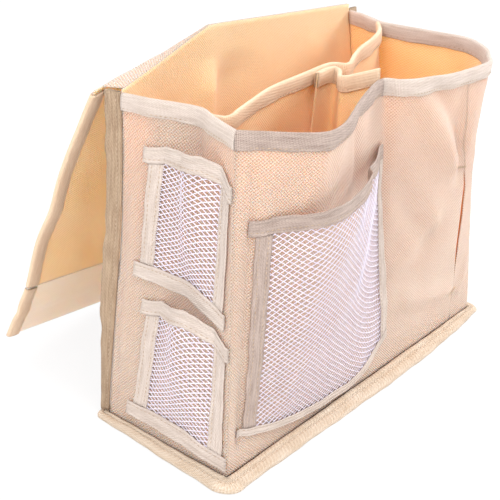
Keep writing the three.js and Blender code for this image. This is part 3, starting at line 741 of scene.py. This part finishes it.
def rim_tape(name, node, wall, start, end, front, back, tape_cloth):
    """Tape folded over the top edge of a wall and sewn through both its faces"""
    height = CLOTH_TOP - wall.foot_height
    seam_up = 2.0
    seam_out = GAP + 0.75

    def bend(share, over, out):
        along = start + (end - start) * share
        side = np.sign(out - (front + back) / 2)
        slack = 0.35 * np.sin(along * 0.13) * ramp(-over / TAPE_WIDTH) * side
        return wall.place(along, 1 + (over + frayed(along, TAPE_WIDTH, over)) / height, out + slack)

    section = folded_section(TAPE_WIDTH, front + GAP, back - GAP)
    mesh = swept(section, int((end - start) / TAPE_STEP), bend)
    for face, side in ((front + seam_out, 1), (back - seam_out, -1)):
        def path(along, ahead, outside, face=face, side=side):
            high = 1 + (seam_up - TAPE_WIDTH) / height
            return wall.place(along + ahead, high + 0 * along, face + side * outside)
        sew(mesh, seam_places(start, end), path)
    return tape_piece(mesh, name, node, tape_cloth)


def make_shell():
    """The five panels round the bag, the tape on their rims and the bound seams at the back corners"""
    level = np.ones_like
    seam = GAP / 2
    hem = 0.02
    panels = [
        ("left_gusset", line_at(hem), line_at(FRONT_START - hem), level, 44),
        ("front_panel", line_at(FRONT_START + hem), slit_edge(-1), level, 110),
        ("tissue_side_panel", slit_edge(1), line_at(FRONT_END - hem), level, 24),
        ("right_gusset", line_at(FRONT_END + hem), line_at(BACK_START - hem), level, 44),
        ("back_panel", line_at(BACK_START + hem), line_at(BACK_END - hem), ridge_rise, 110),
    ]
    cloths = [wall_panel(*panel) for panel in panels]
    pinch = FRONT_START + PINCH * WIDTH
    back_left_end = 1.3
    back_right_end = BACK_START - 2.2
    # Each rim takes the shaded or the lit copy of the tape, as painted shade or painted light
    rims = [
        ("left", "left_gusset", back_left_end, FRONT_START - seam, lit_tape),
        ("front_left", "front_left", FRONT_START + seam, pinch - seam, shaded_tape),
        ("front_right", "front_right", pinch + seam, FRONT_END - seam, lit_tape),
        ("right", "right_gusset", FRONT_END + seam, back_right_end, lit_tape),
    ]
    tapes = [[rim_tape("rim_binding_" + side, "rim_tape_" + edge, shell, start, end, 0, -CLOTH, tape_cloth)]
             for side, edge, start, end, tape_cloth in rims]
    tapes.append([
        corner_binding("corner_binding_left", "back_left_corner_tape", 0.0, (-0.3, 0.95)),
        corner_binding("corner_binding_right", "back_right_corner_tape", BACK_START, (1, -0.05)),
    ])
    cut_sizes = [(110, 238), (290, 238), (42, 238), (135, 238), (330, 255)]
    for cloth, (wide, tall), sewn_on in zip(cloths, cut_sizes, tapes):
        sewn_sheet(cloth, wide, tall, "stretched", *sewn_on)


def corner_binding(name, node, along, reach):
    """The bound seam that stands out at a back corner, narrower near its foot"""
    stout = 1.15
    wide = 11.4
    narrowing = 0.55
    narrow_rise = 0.35
    foot = 4.0
    head = 2.0
    seam_over = 3.2
    length = WALL + head - foot
    reach = unit(np.array([*reach, 0.0]))
    across = np.array([-reach[1], reach[0], 0.0])
    face = [(-0.3, 0.4), (0.9, 1.1), (2.4, 1.1), (seam_over, 0.6), (4.0, 1.05), (7.0, 1.15), (9.2, 1.1),
            (wide - 0.3, 0.8)]
    section = ([(over, stout * out) for over, out in face] + [(wide, 0.0)]
               + [(over, -stout * out) for over, out in reversed(face)])

    def bend(share, over, out):
        rise = (foot + length * share) / WALL
        seam = shell.place(along + 0 * rise, rise, 0.0)
        taper = 1 - narrowing * np.maximum(0, 1 - rise / narrow_rise)
        sway = 0.9 * np.sin(rise * 15 + 1) + 0.45 * np.sin(rise * 39) + 0.25 * np.sin(rise * 83)
        edge = 0.35 * np.sin(rise * 61) * over / wide
        return (seam + reach * ((over + edge) * taper)[..., None]
                + across * (out + sway * over / wide)[..., None])

    mesh = swept(section, 110, bend)
    for side in (-1, 1):
        def path(height, ahead, outside, side=side):
            share = (height + ahead) / length
            return bend(share, seam_over + 0 * height, side * (stout * 0.75 + outside) + 0 * height)
        sew(mesh, seam_places(0, length), path)
    return tape_piece(mesh, name, node, corner_tape)


def make_divider(node, wall, columns, wide, tall):
    """A divider, painted on both faces with the orange glow of light through the cloth, with tape over its
    top edge
    """
    def bend(across, up, out):
        return wall.place(across * wall.length, up, out)

    def size(across, up):
        return across * wall.length, up * WALL

    cloth = cloth_sheet(node + "_cloth", node, "bag", "outer_cloth", columns, 60, bend, size,
                        lining_cloth, lining_cloth)
    tape = rim_tape(node + "_binding", node + "_tape", wall, 0, wall.length, CLOTH / 2, -CLOTH / 2,
                    flap_tape)
    sewn_sheet(cloth, wide, tall, "stretched", tape)


def make_base():
    """The cloth under the base, and the bound seam round it, drawn in or let out at each corner"""
    reaches = [8.4, 8.0, 15.0, 8.6]
    turns = plan([(1, 1), (0, 1), (0, 0), (1, 0)])
    fuller = [0.0, 0.0, 5.5, 0.0]
    turn_steps = 8
    side_step = 3
    stations = []
    for quarter, (corner, reach) in enumerate(zip(turns, reaches)):
        following, next_reach = turns[(quarter + 1) % 4], reaches[(quarter + 1) % 4]
        for step in range(turn_steps + 1):
            stations.append((*corner, (quarter + step / turn_steps) * math.pi / 2, reach))
        count = int(np.linalg.norm(following - corner) / side_step)
        for step in range(1, count):
            share = step / count
            place = corner + (following - corner) * share
            wider = fuller[quarter] * math.sin(math.pi * share ** 1.6)
            side_reach = reach + (next_reach - reach) * share + wider
            stations.append((*place, (quarter + 1) * math.pi / 2, side_reach))
    stations = np.array(stations + stations[:1])
    stations[-1, 2] += 2 * math.pi
    start, low = 0.7, 0.02
    seam_over, seam_up = 0.52, 4.0
    section = [(0.0, 1.7), (0.06, 4.2), (0.2, 4.5), (0.32, 4.2), (0.38, 3.4), (0.44, 4.0), (0.6, 3.9),
               (0.8, 3.4), (0.94, 2.7), (1.0, 1.6), (0.97, 0.5), (0.85, low), (0.6, 0.25), (0.3, 0.8),
               (0.08, 1.2)]

    def bend(share, over, height):
        index = share * (len(stations) - 1)
        x, y, turn, reach = (np.interp(index, np.arange(len(stations)), column) for column in stations.T)
        wave = 0.35 * np.sin(index * 0.31) + 0.2 * np.sin(index * 0.83)
        out = start + (reach - start) * over + wave * over
        lift = np.where(height > 2.4, 0.3 * np.sin(index * 0.23 + 2) + 0.15 * np.sin(index * 0.9), 0)
        return np.stack([x + np.cos(turn) * out, y + np.sin(turn) * out, height + lift], -1)

    mesh = swept(section, len(stations) - 1, bend, closed=True)

    def path(index, ahead, outside):
        share = (index + ahead) / (len(stations) - 1)
        return bend(share, seam_over + 0 * index, seam_up + outside + 0 * index)

    sew(mesh, np.arange(0.5, len(stations) - 2, 1.1), path)
    band = tape_piece(mesh, "base_binding_band", "base_binding", base_tape)

    def floor(across, up, out):
        height = CLOTH / 2 + out + 0 * across
        return np.concatenate([plan(np.stack([across, up], -1)), height[..., None]], -1)

    cloth = cloth_sheet("base_cloth", "base_panel", "bag", "outer_cloth", 60, 20, floor,
                        lambda across, up: (across * WIDTH, up * DEPTH), outer_cloth, outer_cloth,
                        CLOTH - 2 * low)
    sewn_sheet(cloth, WIDTH, DEPTH, "laid", band)
    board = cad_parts["base_board"]
    board.data.materials.clear()
    board.data.materials.append(board_paper)


def diamond_net(wide, tall, columns, rows, thread):
    """A flat net of diamond holes, in millimetres"""
    mesh = grid(columns, rows)
    bmesh.ops.scale(mesh, vec=(wide, tall, 1), verts=mesh.verts)
    frame_edges = [edge for edge in mesh.edges if not edge.is_boundary]
    bmesh.ops.poke(mesh, faces=mesh.faces)
    bmesh.ops.dissolve_edges(mesh, edges=frame_edges, use_verts=False)
    holes = mesh.faces[:]
    bmesh.ops.inset_individual(mesh, faces=holes, thickness=thread / 2, use_even_offset=True)
    bmesh.ops.delete(mesh, geom=holes, context="FACES_ONLY")
    return mesh


class Pocket:
    """A net framed by tape on one wall of the shell. corners are shares of the wall's length and height,
    mouth and foot say how far those edges sag, and narrow is the width of the right and foot tapes."""

    def __init__(self, name, wall, corners, mouth, foot, narrow, bulge, cells, right_end, tape_cloth):
        self.name, self.mouth, self.foot, self.narrow = name, mouth, foot, narrow
        self.bulge, self.cells, self.right_end, self.tape_cloth = bulge, cells, right_end, tape_cloth
        self.start, self.length = wall
        self.corners = np.array(corners, float)
        self.wide = self.length * (self.corners[1][0] - self.corners[0][0])
        self.tall = WALL * (self.corners[0][1] - self.corners[3][1])
        self.left, self.right = POCKET_TAPE / self.wide, narrow / self.wide
        self.high, self.low = POCKET_TAPE / self.tall, narrow / self.tall

    def place(self, a, b, out):
        """a runs from left to right and b from the mouth down"""
        a, b, out = spread(a, b, out)
        across = ramp((a - self.left) / (1 - self.left - self.right))
        down = ramp((b - self.high) / (1 - self.low - self.high))
        off = self.bulge * np.sin(math.pi * across) * (1 - down * down)
        top_left, top_right, foot_right, foot_left = self.corners
        top = top_left + (top_right - top_left) * a[..., None]
        base = foot_left + (foot_right - foot_left) * a[..., None]
        at = top + (base - top) * b[..., None]
        sag = table(self.mouth, a) * (1 - b) + table(self.foot, a) * b
        return shell.place(self.start + at[..., 0] * self.length, at[..., 1] - sag, POCKET_OUT + off + out)

    def net(self):
        """The net of thread, which reaches a little way under the tapes"""
        edge = 1.6
        out = 0.6
        low = np.array([self.left - edge / self.wide, self.high - edge / self.tall])
        size = np.array([1 - self.right + edge / self.wide, 1 - self.low + edge / self.tall]) - low
        wide, tall = size * np.array([self.wide, self.tall])
        mesh = diamond_net(wide, tall, *self.cells)
        x, y = grid_shares(mesh)
        a, b = low[0] + size[0] * x / wide, low[1] + size[1] * y / tall
        middle = self.place(a, b, out)
        lay(mesh, middle, x, y)
        face_out(mesh, self.place(a, b, out + 1) - middle)
        piece = to_piece(mesh, self.name + "_mesh", self.name + "_net", "bag", "mesh", mesh_thread)
        thicken(piece, NET_STOUT)
        return piece, wide, tall

    def tape(self, side, first, last, wide, upright, seams):
        """A flat tape from first to last, corners as shares. upright runs it down the pocket."""
        face = [(0.0, 1.0), (0.5, 1.5), (wide * 0.16, 1.45), (wide * 0.24, 0.95), (wide * 0.32, 1.3),
                (wide * 0.5, 1.35), (wide * 0.68, 1.3), (wide * 0.76, 0.95), (wide * 0.84, 1.4),
                (wide - 0.5, 1.45), (wide, 0.9)]
        back = [(wide - 0.4, 0.6), (wide * 0.75, 0.0), (wide * 0.5, 0.0), (wide * 0.25, 0.0), (0.4, 0.6)]
        seam_out, upright_out, level_out = 1.05, 0.12, 0.3
        size = np.array(last) - np.array(first)
        length = size[1] * self.tall if upright else size[0] * self.wide

        def bend(share, over, out):
            run = share * length
            share_over = over / wide
            wave = (0.25 * np.sin(run * 0.23) + 0.12 * np.sin(run * 0.61 + 1)) * np.abs(share_over - 0.5) * 2
            if upright:
                a = first[0] + size[0] * share_over + wave / self.wide
                return self.place(a, first[1] + size[1] * share, out + upright_out)
            b = first[1] + size[1] * share_over + wave / self.tall
            return self.place(first[0] + size[0] * share, b, out + level_out)

        mesh = swept(face + back, max(8, int(length / TAPE_STEP)), bend)
        for seam in seams:
            def path(run, ahead, outside, seam=seam):
                return bend((run + ahead) / length, wide * seam + 0 * run, seam_out + outside + 0 * run)
            sew(mesh, seam_places(0, length), path, wide=0.6)
        # Narrow tapes take the paler, lit copy of the tape, painted light
        tape_cloth = self.tape_cloth if wide == POCKET_TAPE else lit_tape
        return tape_piece(mesh, f"{self.name}_{side}_binding", f"{self.name}_{side}_tape", tape_cloth)

    def make(self):
        """The net and its four tapes. The mouth and foot tapes reach past the pocket's corners."""
        net, wide, tall = self.net()
        top, end = self.high + GAP / self.tall, 1 - self.low - GAP / self.tall
        first, last = -POCKET_LEFT_END / self.wide, 1 + self.right_end / self.wide
        tapes = [
            self.tape("mouth", (first, 0), (last, self.high), POCKET_TAPE, False, (0.76,)),
            self.tape("foot", (first, 1 - self.low), (last, 1), self.narrow, False, (0.24,)),
            self.tape("left", (0, top), (self.left, end), POCKET_TAPE, True, (0.24, 0.76)),
            self.tape("right", (1 - self.right, top), (1, end), self.narrow, True, (0.24,)),
        ]
        sewn_sheet(net, wide, tall, "stretched", *tapes, area=NET_SHARE * wide * tall / 1e6)


def make_pockets():
    """The pocket on the front and the two on the left gusset"""
    Pocket("front_pocket", FRONT, [(0.044, 0.766), (0.53, 0.812), (0.585, 0.13), (0.046, 0.11)],
           [(0, 0), (0.2, -0.022), (0.6, -0.022), (0.75, -0.004), (1, 0)],
           [(0, 0), (0.1, 0.021), (0.3, 0.065), (0.5, 0.092), (0.7, 0.1), (0.8, 0.094), (0.86, 0.08),
            (0.91, 0.06), (0.96, 0.03), (1, 0)],
           narrow=6.0, bulge=13.0, cells=(27, 37, 0.44), right_end=0.0, tape_cloth=shaded_tape).make()
    # The side pockets' tapes take the lit copy of the tape, painted light; the front pocket's take the shaded
    # copy, painted shade
    side = {"narrow": POCKET_TAPE, "bulge": 12.0, "cells": (9, 22, 0.56), "right_end": 2.5,
            "tape_cloth": lit_tape}
    Pocket("upper_side_pocket", LEFT, [(0.247, 0.877), (0.975, 0.862), (0.935, 0.452), (0.207, 0.489)],
           [(0, 0), (0.2, -0.014), (0.5, -0.03), (0.7, -0.049), (0.85, -0.037), (1, 0)],
           [(0, 0), (0.6, -0.014), (1, 0)], **side).make()
    Pocket("lower_side_pocket", LEFT, [(0.295, 0.432), (0.975, 0.409), (0.97, 0.024), (0.208, 0.042)],
           [(0, 0), (0.2, -0.02), (0.4, -0.042), (0.6, -0.063), (0.7, -0.057), (0.85, -0.034), (1, 0)],
           [(0, 0), (1, 0)], **side).make()


def side_tapes(label, node, body, place, first, ends, steps):
    """Tapes folded round the left and the right edge of the flap or of its band, each from first(across)
    to its end, as shares down the cloth"""
    section = folded_section(TAPE_WIDTH, CLOTH / 2 + GAP, -CLOTH / 2 - GAP)
    stands_in, wave_run = 1.1, 240
    tapes = []
    for side, end in zip(("left", "right"), ends):
        def bend(share, over, out, side=side, end=end):
            inset = (stands_in - over - frayed(share * wave_run, TAPE_WIDTH, over)) / flap_width
            across = 1 - inset if side == "left" else inset
            return place(across, first(across) + (end - first(across)) * share, out)

        mesh = swept(section, steps, bend)
        tapes.append(tape_piece(mesh, f"{label}_binding_{side}", f"{node}_{side}_tape", flap_tape, body))
    return tapes


def band_end(share):
    """How far down the band reaches: it is cut longer towards the left"""
    return BAND_SHORTEST + BAND_LONGER * ramp((share - BAND_TURN) / (1 - BAND_TURN))


def make_flap():
    """The flap, its end band and the tapes at their sides"""
    first, wide = 0.003, 0.994
    flap_foot = 0.9985
    flap_tape_foot = 0.993
    band_top = 0.006
    band_tape_top = 0.03
    band_height = 50

    def hang(across, up, out):
        top = flap_start(across, 1.0)
        return on_flap(first + wide * across, top + (flap_foot - top) * up, out)

    def lie(across, up, out):
        return on_band(first + wide * across, band_top + (band_end(across) - band_top) * up, out)

    def below_ridge(across):
        return flap_start(across, 5.0)

    def below_seam(across):
        return band_tape_top + 0 * across

    flap = cloth_sheet("flap_cloth", "flap", "anchor_flap", "lining_cloth", 110, 80, hang,
                       lambda across, up: (across * flap_width, up * flap_length), outer_cloth, flap_cloth)
    band = cloth_sheet("end_band_cloth", "end_band", "anchor_band", "outer_cloth", 110, 24, lie,
                       lambda across, up: (across * flap_width, up * band_height), outer_cloth, band_cloth)
    flap_tapes = side_tapes("flap", "flap", "anchor_flap", on_flap, below_ridge,
                            (flap_tape_foot, flap_tape_foot), 90)
    band_tapes = side_tapes("band", "end_band", "anchor_band", on_band, below_seam,
                            (band_end(1.0), band_end(0.0)), 24)
    sewn_sheet(flap, 314, 230, "hung", *flap_tapes)
    sewn_sheet(band, 315, 55, "laid", *band_tapes)


def make_ridge():
    """The cloth that turns over the ridge, from the back panel's edge to the flap's"""
    tucked = 0.4
    flap_gap = 1.4
    map_start, map_wide = 240, 12

    def bend(across, up, out):
        along = BACK_START + 2 + (WIDTH - 5) * across
        rise = ridge_rise(along)
        near = shell.place(along, rise - tucked / WALL, -CLOTH / 2)
        x_share = (hinge_right[0] - near[..., 0]) / (hinge_right[0] - left_edge)
        far = on_flap(x_share, flap_start(x_share, flap_gap), 0.0)
        gap = np.linalg.norm(far - near, axis=-1)
        crown = (0.8 + 0.22 * gap) * np.clip((1 - across) / 0.12, 0.05, 1)
        crest = (near + far) / 2 + np.array([0, 0, 1]) * crown[..., None]
        t = up[..., None]
        point = near * (1 - t) ** 2 + crest * 2 * t * (1 - t) + far * t ** 2
        lean = unit(far - near)
        away = np.stack([0 * t[..., 0], -lean[..., 2], lean[..., 1]], -1)
        turn = np.pi * (up - 0.5)
        side = away * np.cos(turn)[..., None] + lean * np.sin(turn)[..., None]
        return point + side * (np.asarray(out) + 0 * across)[..., None]

    piece = cloth_sheet("ridge_fold", None, None, "outer_cloth", 120, 14, bend,
                        lambda across, up: (across * WIDTH, map_start + up * map_wide),
                        outer_cloth, flap_cloth, thickness=0.8)
    axis = unit(hinge_left - hinge_right)
    across = unit(np.array([-axis[1], axis[0], 0.0])) * -1
    half_fold = across * 0.9
    start = (hinge_right - half_fold) / 1000
    end = (hinge_right + half_fold) / 1000
    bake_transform(piece)


def make_stitching():
    """The bar tacks at the slit's ends, and a row of stitches on the left gusset and above the slit"""
    mesh = bmesh.new()
    mesh.loops.layers.uv.new("cloth")

    def on_shell(along, height):
        def path(place, ahead, outside):
            share = (place + ahead)[:, None]
            spot = np.array([along[0], height[0]]) + share * np.array([along[1], height[1]])
            return shell.place(spot[:, 0], spot[:, 1] / WALL, 0.35 + outside)
        return path

    tacks = [
        (slit_seam(SLIT_HEAD) - 9, SLIT_HEAD * WALL + 1, -0.12),
        (slit_seam(SLIT_FOOT) - 7, SLIT_FOOT * WALL, 0.25),
    ]
    for seam, height, lean in tacks:
        for row in range(2):
            path = on_shell((seam, 1.0), (height + row * 0.9, lean))
            sew(mesh, np.arange(row * 0.8, 11, 1.9), path, wide=0.7, long=2.4)
    sew(mesh, np.arange(0, 62, 3.6), on_shell((31, -0.02), (220, -1.0)), wide=0.5, long=1.6)
    slit_line = on_shell((FRONT_START + 0.812 * WIDTH + 2.2, 0.28), (WALL - 12, -1.0))
    sew(mesh, np.arange(0, 70, 2.6), slit_line, wide=0.5, long=1.8)
    for face in mesh.faces:
        face.material_index = 0
    to_piece(mesh, "stitching", None, "bag", "bias_tape", sewing_thread)


make_shell()
make_stitching()
make_divider("long_divider", long_wall, 130, 330, 235)
make_divider("cross_divider", cross_wall, 44, 83, 240)
make_base()
make_pockets()
make_flap()
make_ridge()


def looked_at(tree):
    """1 where the camera, a gloss or a clear surface looks, and 0 for the light itself"""
    path = tree.nodes.new("ShaderNodeLightPath")
    camera, gloss, clear = (Value(tree, path.outputs[f"Is {kind} Ray"])
                            for kind in ("Camera", "Glossy", "Transmission"))
    return camera.math("MAXIMUM", camera, gloss.math("MAXIMUM", gloss, clear))


def studio():
    """A white floor, a pale room and four soft lamps"""
    floor_mesh = bmesh.new()
    bmesh.ops.create_grid(floor_mesh, x_segments=1, y_segments=1, size=6.0,
                          matrix=Matrix.Translation((0, 0, -0.0004)))
    floor = add_mesh("floor", floor_mesh)
    paper = bpy.data.materials.new("floor_paper")
    paper.use_nodes = True
    tree = paper.node_tree
    tree.nodes.clear()
    start = looked_at(tree)
    matt = start.node("BsdfDiffuse", {}, {"Color": (0.92, 0.92, 0.92, 1)})
    white = start.node("Emission", {}, {"Color": (1, 1, 1, 1), "Strength": 1.0})
    both = start.node("MixShader", {}, {0: start * 0.86, 1: matt, 2: white})
    output = tree.nodes.new("ShaderNodeOutputMaterial")
    tree.links.new(both.socket, output.inputs["Surface"])
    floor.data.materials.append(paper)

    room = bpy.data.worlds.new("studio")
    scene.world = room
    room.use_nodes = True
    tree = room.node_tree
    background = tree.nodes["Background"]
    seen = looked_at(tree)
    level = ROOM_LIGHT + seen * (1 - ROOM_LIGHT)
    tree.links.new(level.socket, background.inputs["Strength"])
    background.inputs["Color"].default_value = (1, 1, 1, 1)

    lamps = [
        ("key", (-1.6, -0.6, 1.2), 0.8, 15.0),
        ("top", (-0.4, -0.7, 1.9), 0.9, 17.0),
        ("back", (0.1, 1.6, 1.2), 0.9, 15.0),
        ("side", (1.3, -0.5, 0.9), 0.5, 14.0),
    ]
    for name, place, size, power in lamps:
        lamp = bpy.data.lights.new(name, "AREA")
        lamp.size = size
        lamp.energy = power
        holder = add_object(name, lamp)
        aim = (Vector((0, 0, 0.12)) - Vector(place)).to_track_quat("-Z", "Y")
        holder.matrix_world = Matrix.Translation(place) @ aim.to_matrix().to_4x4()


def place_camera():
    """The photograph's view: its place, how far it turns and dips, and how far it leans"""
    place, yaw, pitch, roll = (-0.6401, -0.4224, 0.4642), 52.84, 25.94, 3.82
    focal_pixels, picture, sensor = 1114, 500, 36.0
    yaw, pitch, roll = (math.radians(value) for value in (yaw, pitch, roll))
    forward = Vector((math.sin(yaw) * math.cos(pitch), math.cos(yaw) * math.cos(pitch), -math.sin(pitch)))
    level = Vector((math.cos(yaw), -math.sin(yaw), 0))
    upright = level.cross(forward)
    right = level * math.cos(roll) + upright * math.sin(roll)
    up = upright * math.cos(roll) - level * math.sin(roll)
    data = bpy.data.cameras.new("camera")
    data.sensor_width = sensor
    data.lens = focal_pixels / picture * sensor
    data.clip_start = 0.01
    camera = add_object("camera", data)
    turn = Matrix((right, up, -forward)).transposed().to_4x4()
    camera.matrix_world = Matrix.Translation(place) @ turn
    scene.camera = camera


studio()
place_camera()
scene.view_settings.view_transform = "Standard"
